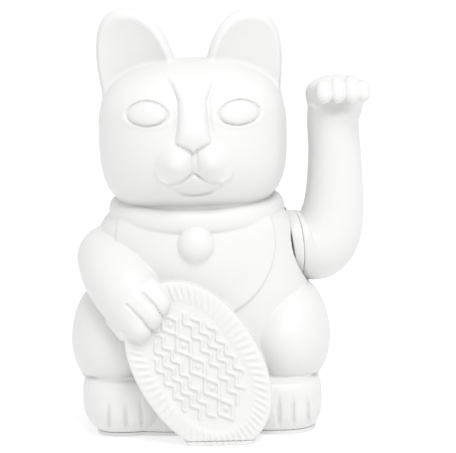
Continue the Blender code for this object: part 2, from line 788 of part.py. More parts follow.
def wall_plate(name, outline, x_range):
    """A flat wall across X from its outline of (y, z) points in millimetres."""
    data = bpy.data.curves.new(name, "CURVE")
    data.dimensions = "2D"
    data.fill_mode = "BOTH"
    data.extrude = (x_range[1] - x_range[0]) / 2
    spline = data.splines.new("POLY")
    spline.points.add(len(outline) - 1)
    spline.use_cyclic_u = True
    for point, (y, z) in zip(spline.points, outline):
        point.co = (mm(y), mm(z), 0, 1)
    guide = bpy.data.objects.new(name + "_curve", data)
    PARTS.objects.link(guide)
    bpy.context.view_layer.update()
    graph = bpy.context.evaluated_depsgraph_get()
    mesh = bpy.data.meshes.new_from_object(guide.evaluated_get(graph))
    bpy.data.objects.remove(guide, do_unlink=True)
    bm = bmesh.new()
    bm.from_mesh(mesh)
    bpy.data.meshes.remove(mesh)
    bmesh.ops.remove_doubles(bm, verts=bm.verts, dist=mm(0.001))
    turn = Matrix(((0, 0, 1, 0), (1, 0, 0, 0), (0, 1, 0, 0), (0, 0, 0, 1)))
    middle = Matrix.Translation((sum(x_range) / 2, 0, 0))
    return object_from(bm, name, WHITE, middle @ turn)


def movement_frame():
    """Two upright walls on a floor, with a cross bar over the axle."""
    crown = [
        (7 * math.cos(math.radians(angle)), 64 + 7 * math.sin(math.radians(angle)))
        for angle in range(0, 181, 30)
    ]
    outline = [(-19, 5.0), (8.2, 5.0), (8.2, 20), *crown, (-19, 20)]
    inner = wall_plate("inner_wall", outline, FRAME_INNER_WALL_X)
    outer = wall_plate("outer_wall", outline, FRAME_OUTER_WALL_X)
    x_low, x_high = FRAME_INNER_WALL_X[0], FRAME_OUTER_WALL_X[1]
    x_low, x_high = x_low + mm(1), x_high - mm(1)
    low_z, high_z = FRAME_FLOOR_Z
    floor = box("floor", (x_low, -mm(18.5), low_z), (x_high, mm(8), high_z))
    bridge = box("bridge", (x_low, -mm(3.5), mm(68.6)), (x_high, mm(3.5), mm(70.4)))
    bores = rod("bores", (mm(5), 0, PIVOT_Z), (mm(30), 0, PIVOT_Z), mm(2.95))
    screws = [
        rod("screw_hole", (*place, mm(2)), (*place, mm(9)), mm(1.4), sides=16)
        for place in FRAME_SCREW_PLACES.values()
    ]
    window_ends = [(x, -mm(4), mm(26)) for x in (mm(24), mm(28))]
    window = rod("window", *window_ends, mm(6))
    made = cut(join(inner, outer, floor, bridge), bores, *screws, window)
    renamed(made, "movement_frame", IVORY)


def drive_coil():
    """The coil that kicks the magnet, on its bobbin on the frame's floor."""
    base = FRAME_FLOOR_Z[1] + TOUCH_GAP
    height = mm(10)
    flange = mm(1.0)
    outline = (
        (mm(1.5), 0),
        (mm(6.4), 0),
        (mm(6.4), flange),
        (mm(2.6), flange),
        (mm(2.6), height - flange),
        (mm(6.4), height - flange),
        (mm(6.4), height),
        (mm(1.5), height),
        (mm(1.5), 0),
    )
    foot_point = (LEVER_X, 0, base)
    renamed(turned("coil_bobbin", outline, foot_point, (0, 0, 1), BLACK, 28), "coil_bobbin", BLACK)
    layers = (
        (mm(2.8), flange + FIT_GAP),
        (mm(5.7), flange + FIT_GAP),
        (mm(5.9), height / 2),
        (mm(5.7), height - flange - FIT_GAP),
        (mm(2.8), height - flange - FIT_GAP),
        (mm(2.8), flange + FIT_GAP),
    )
    winding = turned("winding", layers, foot_point, (0, 0, 1), COPPER, 28)
    renamed(winding, "coil_winding", COPPER)


def circuit():
    """The board beside the frame with its chip, its capacitor and its transistor."""
    face = FRAME_INNER_WALL_X[0] - TOUCH_GAP
    back = face - mm(1.6)
    renamed(box("board", (back, -mm(14), mm(13)), (face, mm(6), mm(35))), "circuit_board", BOARD)
    front = back - TOUCH_GAP
    blob_place = (front, -mm(8), mm(29))
    blob = ellipsoid("blob", blob_place, mm(1.6, 3.4, 3.4), segments=20, rings=10)
    blob = cut(blob, box("flat", (front, -FAR, -FAR), (FAR, FAR, FAR)))
    renamed(blob, "drive_chip", BLACK)
    can_ends = [(front - mm(2.6), mm(1), height) for height in (mm(17), mm(25))]
    renamed(rod("can", *can_ends, mm(2.5)), "capacitor", BLACK)
    body_ends = [(front - mm(1.7), -mm(9), height) for height in (mm(17), mm(22))]
    body = rod("transistor", *body_ends, mm(2.3))
    flat = box("flat", (front - mm(0.4), -FAR, -FAR), (FAR, FAR, FAR))
    renamed(cut(body, flat), "transistor", BLACK)


def cell_and_contacts():
    """The AA cell, its two contacts and the leads to the board."""
    start, end = CELL_ENDS_X
    y, z = CELL_CENTRE_Y, CELL_CENTRE_Z
    sleeve = (
        (0, 0),
        (mm(6.4), 0),
        (CELL_RADIUS, mm(0.5)),
        (CELL_RADIUS, end - start - mm(0.5)),
        (mm(6.4), end - start),
        (mm(2.7), end - start),
        (mm(2.7), end - start + mm(1)),
        (0, end - start + mm(1)),
    )
    renamed(turned("cell", sleeve, (start, y, z), (1, 0, 0), CELL, 28), "aa_cell", CELL)
    turns, wide, narrow, per_turn = 3, mm(4.6), mm(2.6), 12
    wire_radius = mm(0.35)
    near = start - TOUCH_GAP - wire_radius
    far = TRAY_ENDS_X[0] + TOUCH_GAP + wire_radius
    path = []
    for step in range(turns * per_turn + 1):
        share = step / (turns * per_turn)
        angle = 2 * math.pi * step / per_turn + math.pi / 2
        radius = narrow + (wide - narrow) * share
        x = near + (far - near) * share
        path.append(Vector((x, y + radius * math.cos(angle), z + radius * math.sin(angle))))
    path.append(Vector((far, y, z + mm(7.5))))
    renamed(wire("spring_contact", path, wire_radius, STEEL), "spring_contact", STEEL)
    plate_x = end + mm(1) + TOUCH_GAP
    tab = box(
        "plate_contact",
        (plate_x, y - mm(4), z - mm(5)),
        (plate_x + mm(0.4), y + mm(4), z + mm(7.5)),
    )
    renamed(tab, "plate_contact", STEEL)
    board_edge = FRAME_INNER_WALL_X[0] - TOUCH_GAP - mm(0.8)
    red = smooth_path(
        [
            Vector((plate_x + mm(0.2), y, z + mm(8.1))),
            mm(25, 24, 20.5),
            mm(16, 27, 20),
            mm(8, 22, 22),
            mm(7.5, 13, 27),
            Vector((board_edge, mm(6.5), mm(30))),
        ],
        5,
    )
    renamed(wire("red_lead", red, mm(0.6), RED), "red_lead", RED)
    black = smooth_path(
        [
            Vector((far, y, z + mm(8.1))),
            mm(-25, 24.5, 20.5),
            mm(-14, 28, 19.5),
            mm(-2, 25, 19),
            mm(5.5, 15, 19.5),
            Vector((board_edge, mm(6.5), mm(21))),
        ],
        5,
    )
    renamed(wire("black_lead", black, mm(0.6), BLACK), "black_lead", BLACK)


OUTLINE = renamed(whole_form(), "outline")
shells()
base_plate()
battery_door()
arm_shells()
arm_hub()
axle_parts()
pendulum()
movement_frame()
drive_coil()
circuit()
cell_and_contacts()
bpy.data.objects.remove(OUTLINE, do_unlink=True)
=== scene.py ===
import math

import bpy
import numpy as np
from mathutils import Matrix, Vector

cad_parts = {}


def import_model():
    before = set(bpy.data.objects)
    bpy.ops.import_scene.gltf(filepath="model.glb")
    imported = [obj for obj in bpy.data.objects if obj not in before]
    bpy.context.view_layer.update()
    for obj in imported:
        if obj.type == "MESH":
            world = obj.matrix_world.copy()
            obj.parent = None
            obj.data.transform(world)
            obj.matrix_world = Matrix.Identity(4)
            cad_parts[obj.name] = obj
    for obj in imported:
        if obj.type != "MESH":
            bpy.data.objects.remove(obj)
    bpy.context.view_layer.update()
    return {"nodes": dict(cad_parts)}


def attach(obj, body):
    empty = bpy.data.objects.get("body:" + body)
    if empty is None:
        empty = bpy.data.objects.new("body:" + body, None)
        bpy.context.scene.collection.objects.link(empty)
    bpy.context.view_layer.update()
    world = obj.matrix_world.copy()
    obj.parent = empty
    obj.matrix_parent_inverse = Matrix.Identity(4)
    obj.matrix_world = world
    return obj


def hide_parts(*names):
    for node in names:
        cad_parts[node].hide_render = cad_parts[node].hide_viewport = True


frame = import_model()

# Looks of the beckoning cat. The visible mouldings are sculpted as distance fields in
# millimetres: negative inside, positive outside, zero on the surface. Each field is sampled on a
# grid near its surface, turned into a mesh and moved onto the exact surface.

# Sampling pitch of each sculpted piece, in millimetres.
FINE_PITCH = 0.4
ARM_PITCH = 0.35
PLAIN_PITCH = 0.65
BASE_PITCH = 0.4
FACE_LIMIT = 190_000

WALL = 2.0
ARM_WALL = 1.5
SHELL_BOTTOM = 1.5
FLANGE_TOP = 1.38
PIVOT_Z = 63.6  # the arm's axle
HALF_SEAM = 0.05  # half the gap between two halves of a moulding


# Distance fields. A point set is a tuple of x, y and z arrays.


def union(a, b, blend=0.0):
    """The lower of two fields, rounded over blend where they cross."""
    low = np.minimum(a, b)
    if blend <= 0:
        return low
    near = np.maximum(blend - np.abs(a - b), 0) / blend
    return low - near * near * blend / 4


def meet(a, b, blend=0.0):
    return -union(-a, -b, blend)


def carve(a, b, blend=0.0):
    """a with b taken away."""
    return -union(-a, b, blend)


def shifted(p, centre):
    return tuple(axis - place for axis, place in zip(p, centre))


def ellipsoid(p, centre, radii, lean=0.0):
    """lean turns it about Y, in degrees, with its top towards +X."""
    x, y, z = shifted(p, centre)
    if lean:
        c, s = math.cos(math.radians(lean)), math.sin(math.radians(lean))
        x, z = x * c - z * s, x * s + z * c
    a, b, c = radii
    k0 = np.sqrt((x / a) ** 2 + (y / b) ** 2 + (z / c) ** 2)
    k1 = np.sqrt((x / a**2) ** 2 + (y / b**2) ** 2 + (z / c**2) ** 2)
    return k0 * (k0 - 1) / np.maximum(k1, 1e-4)


def segment(p, start, end):
    """The distance to a line from start to end, and how far along it, from 0 to 1."""
    start, end = np.array(start, np.float32), np.array(end, np.float32)
    along = end - start
    x, y, z = shifted(p, start)
    t = (x * along[0] + y * along[1] + z * along[2]) / float(along @ along)
    t = np.clip(t, 0, 1)
    gap = np.sqrt(
        (x - t * along[0]) ** 2 + (y - t * along[1]) ** 2 + (z - t * along[2]) ** 2
    )
    return gap, t


def curve_terms(stations):
    """For each stretch of a smooth curve, the terms in 1, t, t squared and t cubed."""
    known = np.array(stations, float)
    ends = np.vstack([2 * known[0] - known[1], known, 2 * known[-1] - known[-2]])
    a, b, c, d = ends[:-3], ends[1:-2], ends[2:-1], ends[3:]
    cubic = (3 * (b - c) + d - a) / 2
    square = (2 * a - 5 * b + 4 * c - d) / 2
    return np.stack([b, (c - a) / 2, square, cubic])


def on_curve(terms, where):
    """Each column's place, slope and bend on the curve at where, from 0 to the last stretch."""
    stretch = np.clip(where.astype(int), 0, terms.shape[1] - 1)
    t = (where - stretch)[:, None]
    a, b, c, d = (term[stretch] for term in terms)
    return a + t * (b + t * (c + t * d)), b + t * (2 * c + t * 3 * d), 2 * c + 6 * t * d


def limb(p, stations):
    """A round tube along a smooth curve through stations of (x, y, z, radius)."""
    terms = curve_terms(stations)
    points = np.stack(p, 1)
    tries = np.linspace(0, terms.shape[1], 4 * terms.shape[1] + 1)
    gaps = [((points - place[:3]) ** 2).sum(1) for place in on_curve(terms, tries)[0]]
    where = tries[np.argmin(gaps, 0)]
    for _ in range(3):
        place, slope, bend = (value[:, :3] for value in on_curve(terms, where))
        away = place - points
        uphill = (away * slope).sum(1)
        steep = (slope * slope).sum(1) + (away * bend).sum(1)
        where = np.clip(where - uphill / np.maximum(steep, 1.0), 0, terms.shape[1])
    place = on_curve(terms, where)[0]
    return np.sqrt(((points - place[:, :3]) ** 2).sum(1)) - place[:, 3]


def smooth_profile(heights, values, softness=2.5):
    """A function of height through the values, with its corners rounded over softness."""
    step = 0.25
    fine = np.arange(heights[0] - 4 * softness, heights[-1] + 4 * softness, step)
    raw = np.interp(fine, heights, values)
    reach = int(2 * softness / step)
    window = np.hanning(2 * reach + 3)[1:-1]
    padded = np.concatenate([np.full(reach, raw[0]), raw, np.full(reach, raw[-1])])
    soft = np.convolve(padded, window / window.sum(), mode="valid")
    return lambda z: np.interp(z, fine, soft).astype(np.float32)


def power(base, exponent):
    return np.power(np.maximum(base, 1e-6), exponent)


def loft(p, half_width, front, back, squareness):
    """A body whose level outline is a rounded box with these half sizes at each height."""
    x, y, z = p
    width = half_width(z)
    depth = np.where(y < 0, front(z), back(z))
    g = power(power(np.abs(x) / width, squareness) + power(np.abs(y) / depth, squareness),
              1 / squareness)
    reach = np.sqrt(x * x + y * y)
    return np.where(g > 0.05, reach * (1 - 1 / np.maximum(g, 0.05)), -np.minimum(width, depth))


def inside_box(p, low, high):
    """The indices of the points in a box."""
    keep = np.ones(p[0].shape, bool)
    for axis, least, most in zip(p, low, high):
        keep &= (axis > least) & (axis < most)
    return np.flatnonzero(keep)


def locally(field, p, box, change):
    """Applies change(part of the field, its points) to the points in a box."""
    chosen = inside_box(p, *box)
    if chosen.size:
        field[chosen] = change(field[chosen], tuple(axis[chosen] for axis in p))
    return field


def add(field, p, box, shape, blend):
    """Joins a shape to the field, inside a box that holds the shape."""
    return locally(field, p, box, lambda f, q: union(f, shape(q), blend))


def beside(side, nearest, farthest, low, high):
    """A box on one side of the cat, with X given outwards and Y and Z by its corners."""
    least, most = sorted((side * nearest, side * farthest))
    return (least, *low), (most, *high)


# From a field to a mesh

BLOCK = 8
CORNERS = [(i, j, k) for i in (0, 1) for j in (0, 1) for k in (0, 1)]
EDGES = [
    (a, b)
    for a in range(8)
    for b in range(a + 1, 8)
    if sum(abs(m - n) for m, n in zip(CORNERS[a], CORNERS[b])) == 1
]


def sample(shape, low, high, pitch):
    """shape on a grid from low to high, exact only in the blocks that its surface may cross."""
    low = np.array(low, float)
    blocks = np.ceil((np.array(high) - low) / pitch / BLOCK).astype(int)
    middle = [low[i] + (np.arange(blocks[i]) + 0.5) * BLOCK * pitch for i in range(3)]
    mesh = np.meshgrid(*middle, indexing="ij")
    flat = tuple(axis.astype(np.float32).ravel() for axis in mesh)
    centre_value = shape(flat)
    reach = 0.5 * BLOCK * pitch * math.sqrt(3) * 1.5 + 1.0
    near = np.flatnonzero(np.abs(centre_value) < reach)
    signs = np.sign(centre_value).reshape(blocks).astype(np.float32)
    values = np.repeat(np.repeat(np.repeat(signs, BLOCK, 0), BLOCK, 1), BLOCK, 2)
    values = values.reshape(blocks[0], BLOCK, blocks[1], BLOCK, blocks[2], BLOCK)
    offset = (np.arange(BLOCK) + 0.5 - BLOCK / 2) * pitch
    local = np.meshgrid(offset, offset, offset, indexing="ij")
    for start in range(0, near.size, 500):
        part = near[start:start + 500]
        points = tuple(
            (flat[i][part][:, None] + local[i].ravel()[None, :]).astype(np.float32).ravel()
            for i in range(3)
        )
        result = shape(points).reshape(part.size, BLOCK, BLOCK, BLOCK)
        i, j, k = np.unravel_index(part, blocks)
        values[i, :, j, :, k, :] = result
    return values.reshape(blocks * BLOCK), low + 0.5 * pitch


def surface_net(values, first, pitch):
    """Vertices and quads of the zero surface: one vertex for each cell that it crosses."""
    inside = values < 0
    size = np.array(values.shape) - 1
    count = np.zeros(size, np.int8)
    for i, j, k in CORNERS:
        count += inside[i:i + size[0], j:j + size[1], k:k + size[2]]
    cells = np.flatnonzero((count > 0) & (count < 8))
    number = np.full(size, -1, np.int32)
    number.ravel()[cells] = np.arange(cells.size)
    place = np.stack(np.unravel_index(cells, size), 1)
    corner = [values[place[:, 0] + i, place[:, 1] + j, place[:, 2] + k] for i, j, k in CORNERS]
    total = np.zeros((cells.size, 3))
    crossings = np.zeros(cells.size)
    for a, b in EDGES:
        crossed = (corner[a] < 0) != (corner[b] < 0)
        t = np.where(crossed, corner[a] / np.where(crossed, corner[a] - corner[b], 1), 0)
        start, end = np.array(CORNERS[a]), np.array(CORNERS[b])
        total += np.where(crossed[:, None], start + t[:, None] * (end - start), 0)
        crossings += crossed
    verts = first + pitch * (place + total / crossings[:, None])
    quads = []
    for axis in range(3):
        u, v = (axis + 1) % 3, (axis + 2) % 3
        low_side = [slice(1, size[n]) for n in range(3)]
        low_side[axis] = slice(0, size[axis])
        high_side = list(low_side)
        high_side[axis] = slice(1, size[axis] + 1)
        a, b = inside[tuple(low_side)], inside[tuple(high_side)]
        where = np.argwhere(a != b)
        leaving = a[tuple(where.T)]
        for n in (u, v):
            where[:, n] += 1
        around = []
        for du, dv in ((1, 1), (0, 1), (0, 0), (1, 0)):
            cell = where.copy()
            cell[:, u] -= du
            cell[:, v] -= dv
            around.append(number[tuple(cell.T)])
        quad = np.stack(around, 1)
        quad[~leaving] = quad[~leaving][:, ::-1]
        quads.append(quad)
    return verts, np.concatenate(quads)


def onto_surface(shape, verts, pitch, rounds=2):
    """Moves each vertex to the exact surface, by at most a pitch."""
    step = 0.02
    for _ in range(rounds):
        p = tuple(verts[:, i].astype(np.float64) for i in range(3))
        value = shape(p)
        slope = np.empty_like(verts)
        for i in range(3):
            moved = list(p)
            moved[i] = moved[i] + step
            slope[:, i] = (shape(tuple(moved)) - value) / step
        length = np.maximum(np.einsum("ij,ij->i", slope, slope), 0.25)
        move = -value[:, None] * slope / length[:, None]
        size = np.linalg.norm(move, axis=1, keepdims=True)
        verts = verts + move * np.minimum(1, 0.6 * pitch / np.maximum(size, 1e-9))
    return verts


def mesh_object(name, verts, quads):
    mesh = bpy.data.meshes.new(name)
    mesh.vertices.add(len(verts))
    mesh.vertices.foreach_set("co", (verts * 0.001).astype(np.float32).ravel())
    mesh.loops.add(quads.size)
    mesh.loops.foreach_set("vertex_index", quads.astype(np.int32).ravel())
    mesh.polygons.add(len(quads))
    mesh.polygons.foreach_set("loop_start", np.arange(0, quads.size, 4, dtype=np.int32))
    mesh.polygons.foreach_set("loop_total", np.full(len(quads), 4, np.int32))
    mesh.update(calc_edges=True)
    mesh.validate()
    made = bpy.data.objects.new(name, mesh)
    bpy.context.scene.collection.objects.link(made)
    return made


def sculpted(name, shape, low, high, pitch):
    """A mesh object of the shape's surface, thinned to FACE_LIMIT triangles."""
    values, first = sample(shape, low, high, pitch)
    verts, quads = surface_net(values, first, pitch)
    made = mesh_object(name, onto_surface(shape, verts, pitch), quads)
    triangles = 2 * len(quads)
    if triangles > FACE_LIMIT:
        thin = made.modifiers.new("thin", "DECIMATE")
        thin.ratio = FACE_LIMIT / triangles
        bpy.context.view_layer.update()
        graph = bpy.context.evaluated_depsgraph_get()
        thinned = bpy.data.meshes.new_from_object(made.evaluated_get(graph))
        made.modifiers.clear()
        made.data = thinned
    made.data.shade_smooth()
    return made


# The cat's form

HEAD_X = -1.0
HEAD_CENTRE = (HEAD_X, 0.0, 107.3)

TORSO_HEIGHTS = (-3, 8, 22, 36, 50, 57, 60, 66, 73, 76.5, 81, 88)
TORSO_WIDTH = smooth_profile(
    TORSO_HEIGHTS, (39, 41.5, 42, 41.0, 39.6, 38.4, 37.9, 36.7, 35.1, 32.5, 25.5, 20), 2
)
TORSO_FRONT = smooth_profile(
    TORSO_HEIGHTS, (26.5, 27.2, 28, 29, 29, 28.3, 28, 27.5, 27, 26, 23, 19), 2
)
TORSO_BACK = smooth_profile(
    TORSO_HEIGHTS, (37, 39.5, 40, 38.5, 34.5, 31.3, 30, 28, 26, 25, 22.5, 18), 2
)


def torso(p):
    return meet(loft(p, TORSO_WIDTH, TORSO_FRONT, TORSO_BACK, 2.3), p[2] - TORSO_HEIGHTS[-1])


def head_base(p):
    """A rounded box: softer at the crown, squarer at the jaw."""
    x, y, z = shifted(p, HEAD_CENTRE)
    below = np.clip(-z / 30.5, 0, 1)
    wide = np.abs(x) / 33.5
    deep = np.abs(y) / (np.where(y < 0, 32.0, 29.3) * np.sqrt(1 - 0.18 * below**2.2))
    tall = np.abs(z) / np.where(z > 0, 24.3, 30.5)
    level = power(power(wide, 2.6) + power(deep, 2.6), 1 / 2.6)
    roundness = np.where(z > 0, 2.45, 3.4)
    g = power(power(level, roundness) + power(tall, roundness), 1 / roundness)
    reach = np.sqrt(x * x + y * y + z * z)
    return reach * (1 - 1 / np.maximum(g, 0.05))


def turned(x, z, centre, lean):
    """x and z from a centre, turned by lean degrees."""
    u, v = x - centre[0], z - centre[1]
    c, s = math.cos(math.radians(lean)), math.sin(math.radians(lean))
    return u * c - v * s, u * s + v * c


def puff(x, z, centre, radii, height, lean=0.0):
    """A dome that is steep at its lower edge and melts away above."""
    u, v = turned(x, z, centre, lean)
    tall = np.where(v > 0, radii[2], radii[1])
    inside = np.maximum(1 - (u / radii[0]) ** 2 - (v / tall) ** 2, 0)
    rise = np.clip((v + 6.5) / 4.5, 0, 1)
    return height * inside ** (0.4 + 1.7 * rise)


def line_distance(x, z, points):
    """The distance in the X-Z plane to a line through the points."""
    nearest = np.full(x.shape, 1e3)
    for (x0, z0), (x1, z1) in zip(points, points[1:]):
        dx, dz = x1 - x0, z1 - z0
        t = np.clip(((x - x0) * dx + (z - z0) * dz) / (dx * dx + dz * dz), 0, 1)
        nearest = np.minimum(nearest, np.hypot(x - x0 - t * dx, z - z0 - t * dz))
    return nearest


def groove(distance, width, depth):
    return depth * np.exp(-((distance / width) ** 2))


NOSE_X = -0.5
NOSE_WIDTH = smooth_profile(
    (102.5, 105.2, 107.5, 112.5, 119.5, 124.5, 129), (0.0, 6.5, 6.0, 5.2, 5.0, 7.0, 10.5), 0.5
)
NOSE_HEIGHT = smooth_profile(
    (101, 105.5, 108, 113, 119, 124.5, 129.5), (1.2, 3.0, 3.7, 3.2, 2.6, 1.4, 0.0), 1.0
)


def nose_relief(x, z):
    across = np.abs(x - NOSE_X) / np.maximum(NOSE_WIDTH(z), 0.05)
    return NOSE_HEIGHT(z) * np.sqrt(np.maximum(1 - across**3, 0)) * (z > 102) * (z < 130)


def bridge_creases(x, z):
    """The creases that run down both sides of the nose from the brow."""
    off_nose = np.abs(x - NOSE_X) - NOSE_WIDTH(z) - 0.3
    fade = np.clip((z - 105) / 4, 0, 1) * np.clip((127 - z) / 3.5, 0, 1)
    return groove(off_nose, 1.1, 0.6) * fade


def eye_relief(x, z, side):
    centre_x = -0.35 + side * 16.05
    u = np.abs(x - centre_x) / 7.1
    drop = 0.5 * np.clip(u, 0, 1.3) ** 2
    v = np.abs(z - 115.05 + 0.2 * side + drop) / 4.1
    level = power(power(u, 1.75) + power(v, 1.95), 1 / 1.85)
    edge = (level - 1) * 4.8
    ball = 1.9 * np.sqrt(np.maximum(1 - level**2, 0))
    rim = 0.3 * np.exp(-(((edge - 1.1) / 0.9) ** 2))
    crease = 0.6 * np.exp(-((edge / 0.45) ** 2))
    return ball + rim - crease


def lip_relief(x, z):
    """The lower lip: a leaf that stands out at the mouth and slopes in below it."""
    u, v = (x + 0.5) / 9.2, (z - 90.8) / 5.0
    inside = np.maximum(1 - u * u - v * v, 0)
    return (4.6 * (v + 1) / 2 - 1.2) * inside**0.3


# Under the cheeks, and under the lower lip, in X and Z.
MOUTH_LINE = (
    (-9.2, 90.8), (-5.6, 91.6), (-2.6, 93.0), (-0.6, 94.3), (1.3, 93.0), (4.4, 91.6), (8.0, 90.7),
)
MOUTH_HEIGHT = smooth_profile(
    (-14, -11, -9.2, -5.6, -2.6, -0.6, 1.3, 4.4, 8.0, 10, 13),
    (86.5, 89.6, 90.8, 91.6, 93.0, 94.3, 93.0, 91.6, 90.7, 89.5, 86.5),
    0.5,
)
CHIN_LINE = ((-9.3, 90.0), (-5.2, 87.2), (-0.3, 86.1), (4.4, 87.0), (8.3, 89.8))


def face_relief(x, z):
    """How far the features stand out from the face at x, z."""
    puffs = union(
        -puff(x, z, (-7.3, 97.4), (7.9, 7.8, 9.8), 4.7, 20),
        -puff(x, z, (6.2, 97.4), (7.9, 7.8, 9.8), 4.7, -20),
        0.4,
    )
    relief = -union(puffs, -nose_relief(x, z), 0.3)
    over_mouth = 1 / (1 + np.exp((MOUTH_HEIGHT(x) - z) / 0.15))
    relief = relief * over_mouth + lip_relief(x, z) * (1 - over_mouth)
    relief = relief - groove(line_distance(x, z, MOUTH_LINE), 0.6, 1.1)
    relief = relief - groove(line_distance(x, z, CHIN_LINE), 0.55, 0.6)
    relief = relief - bridge_creases(x, z)
    for line_x in (-1.07, 0.6):
        line = line_distance(x, z, [(line_x, 102.0), (line_x, 95.2)])
        relief = relief - groove(line, 0.36, 0.45)
    return relief + eye_relief(x, z, -1) + eye_relief(x, z, 1)


def muzzle(p):
    """The broad swelling that carries the nose and the mouth."""
    return ellipsoid(p, (-0.6, -21.6, 99.5), (17.5, 12.0, 13.5))


# Each ear: how far out it stands, its lean, half width and height.
EARS = {-1: (17.8, 0.18, 14.6, 28.2), 1: (17.9, 0.12, 14.0, 26.8)}
EAR_ROOT_Z = 122.0
EAR_FULLNESS = 2.4


def ear_frame(p, side):
    """Coordinates on an ear: outwards, forwards-and-back with its outer edge swept back, and up."""
    offset, lean = EARS[side][:2]
    out = (p[0] - HEAD_X) * side - offset - lean * (p[2] - EAR_ROOT_Z)
    return out, p[1] + 2.0 - 0.28 * out, p[2]


def full_ellipsoid(p, centre, radii, fullness):
    """An ellipsoid whose upright outline has fuller shoulders."""
    x, y, z = shifted(p, centre)
    u, v, w = np.abs(x) / radii[0], y / radii[1], np.abs(z) / radii[2]
    outline = power(power(u, fullness) + power(w, fullness), 1 / fullness)
    g = np.sqrt(outline**2 + v**2)
    steep_x = power(u / outline, fullness - 1) / radii[0]
    steep_z = power(w / outline, fullness - 1) / radii[2]
    slope = np.sqrt(outline**2 * (steep_x**2 + steep_z**2) + (v / radii[1]) ** 2)
    return g * (g - 1) / np.maximum(slope, 1e-4)


def ear_blade(p, side):
    width, height = EARS[side][2:]
    radii = (width, 8.0, height)
    return full_ellipsoid(ear_frame(p, side), (0.0, 0.0, EAR_ROOT_Z), radii, EAR_FULLNESS)


def ear_bowl(p, side):
    """The hollow of an ear, which opens to the front and outwards."""
    width, height = EARS[side][2:]
    radii = (width + 1.2, 6.9, height + 2.2)
    return full_ellipsoid(ear_frame(p, side), (2.0, -7.4, 121.5), radii, EAR_FULLNESS)


def ear(p, side):
    return carve(ear_blade(p, side), ear_bowl(p, side), 0.9)


MUZZLE_BOX = ((-34, -60, 74), (34, 4, 124))
FACE_BOX = ((-36, -60, 82), (36, -10, 134))


def with_face(field, q):
    """The head's field with the features on it, which fade out towards the sides."""
    fade = np.clip((-12 - q[1]) / 6, 0, 1)
    return field - face_relief(q[0], q[2]) * fade


def head(p):
    whole = head_base(p)
    add(whole, p, MUZZLE_BOX, muzzle, 9.0)
    locally(whole, p, FACE_BOX, with_face)
    for side in (-1, 1):
        box = beside(side, 2 + side * HEAD_X, 42 + side * HEAD_X, (-24, 90), (16, 156))
        add(whole, p, box, lambda q: ear(q, side), 2.0)
    return whole


def collar(p):
    """A rounded band, lower at the throat."""
    x, y, z = p
    x = x + 0.4
    y = y + 0.8
    q = np.sqrt((x / 27.4) ** 2 + (y / 26.8) ** 2)
    out = (q - 1) * 27.0
    up = z - 78.1 - 0.065 * y
    level = power(power(np.abs(out) / 3.9, 2.3) + power(np.abs(up) / 4.3, 2.3), 1 / 2.3)
    return (level - 1) * 3.9


def bell(p):
    return ellipsoid(p, (-0.6, -29.6, 68.8), (6.6, 5.8, 6.6))


def bib(p):
    """The smooth chest, which stands a little proud of the body with a crisp edge."""
    u, v = (p[0] + 1.0) / 28.3, (p[2] - 68.5) / 26.8
    edge = (np.sqrt(u * u + v * v) - 1) * 27
    chest = ellipsoid(p, (-0.5, -6.0, 62.0), (29.0, 26.0, 27.0))
    return meet(union(torso(p) - 1.1, chest, 4.0), edge, 0.8)


def thigh(p, side):
    """An egg whose narrow end is at the top and leans outwards."""
    x, y, z = p
    w = z - 32
    u = x * side - 29.9 - 0.009 * np.maximum(w, 0) ** 2
    v = y + 5.5
    level = np.hypot(u / 16.5, v / 24.5)
    up = np.abs(w) / 20.5
    roundness = np.where(w > 0, 1.85, 2.0)
    g = power(power(level, roundness) + power(up, roundness), 1 / roundness)
    return np.sqrt(u * u + v * v + w * w) * (1 - 1 / np.maximum(g, 0.05))


# For each side: the foot's top, how square its lower edge is, and X of the toe grooves.
FOOT_X = 27.2
FOOT_TOP = {-1: 20.8, 1: 19.0}
FOOT_BEND = {-1: 2.3, 1: 2.5}
TOE_PLACES = {-1: (-33.1, -27.1, -21.6), 1: (26.9, 31.9, 37.3)}


def foot(p, side):
    """A rounded block with grooves between its toes."""
    x, y, z = p
    u = x * side - FOOT_X
    v = y + 12.0
    w = z - FOOT_TOP[side] + 8.8
    wide = np.abs(u) / 15.4
    deep = np.abs(v) / 18.4
    level = power(power(wide, 2.6) + power(deep, 2.6), 1 / 2.6)
    up = np.abs(w) / np.where(w > 0, 11.0, 13.3)
    roundness = np.where(w > 0, 4.0, FOOT_BEND[side])
    g = power(power(level, roundness) + power(up, roundness), 1 / roundness)
    body = np.sqrt(u * u + v * v + w * w) * (1 - 1 / np.maximum(g, 0.05))
    front = np.clip((-18 - y) / 6, 0, 1)
    fade = front * np.clip((15.5 - z) / 6, 0, 1) * np.clip((z - 2.0) / 3, 0, 1)
    for place in TOE_PLACES[side]:
        body = body + groove(np.abs(x - place), 0.6, 1.1) * fade
    return body


def foot_crease(p, side):
    """The crease between a foot and its thigh, round the front and the side."""
    return groove(p[2] - FOOT_TOP[side], 0.45, 0.7) * np.clip((4 - p[1]) / 3, 0, 1)


COIN_CENTRE = (-1.0, -39.8, 27.5)
COIN_LEAN = math.radians(6)
COIN_TURN = math.radians(32)
COIN_RADII = (21.4, 32.0)
COIN_THICKNESS = 18.0
LOZENGES = (-17.6, -8.8, 0.0, 8.8, 17.6)  # along the coin
WAVES = ((5.3, 18.4), (8.5, 15.6), (11.6, 10.6))  # across the coin, and half the length


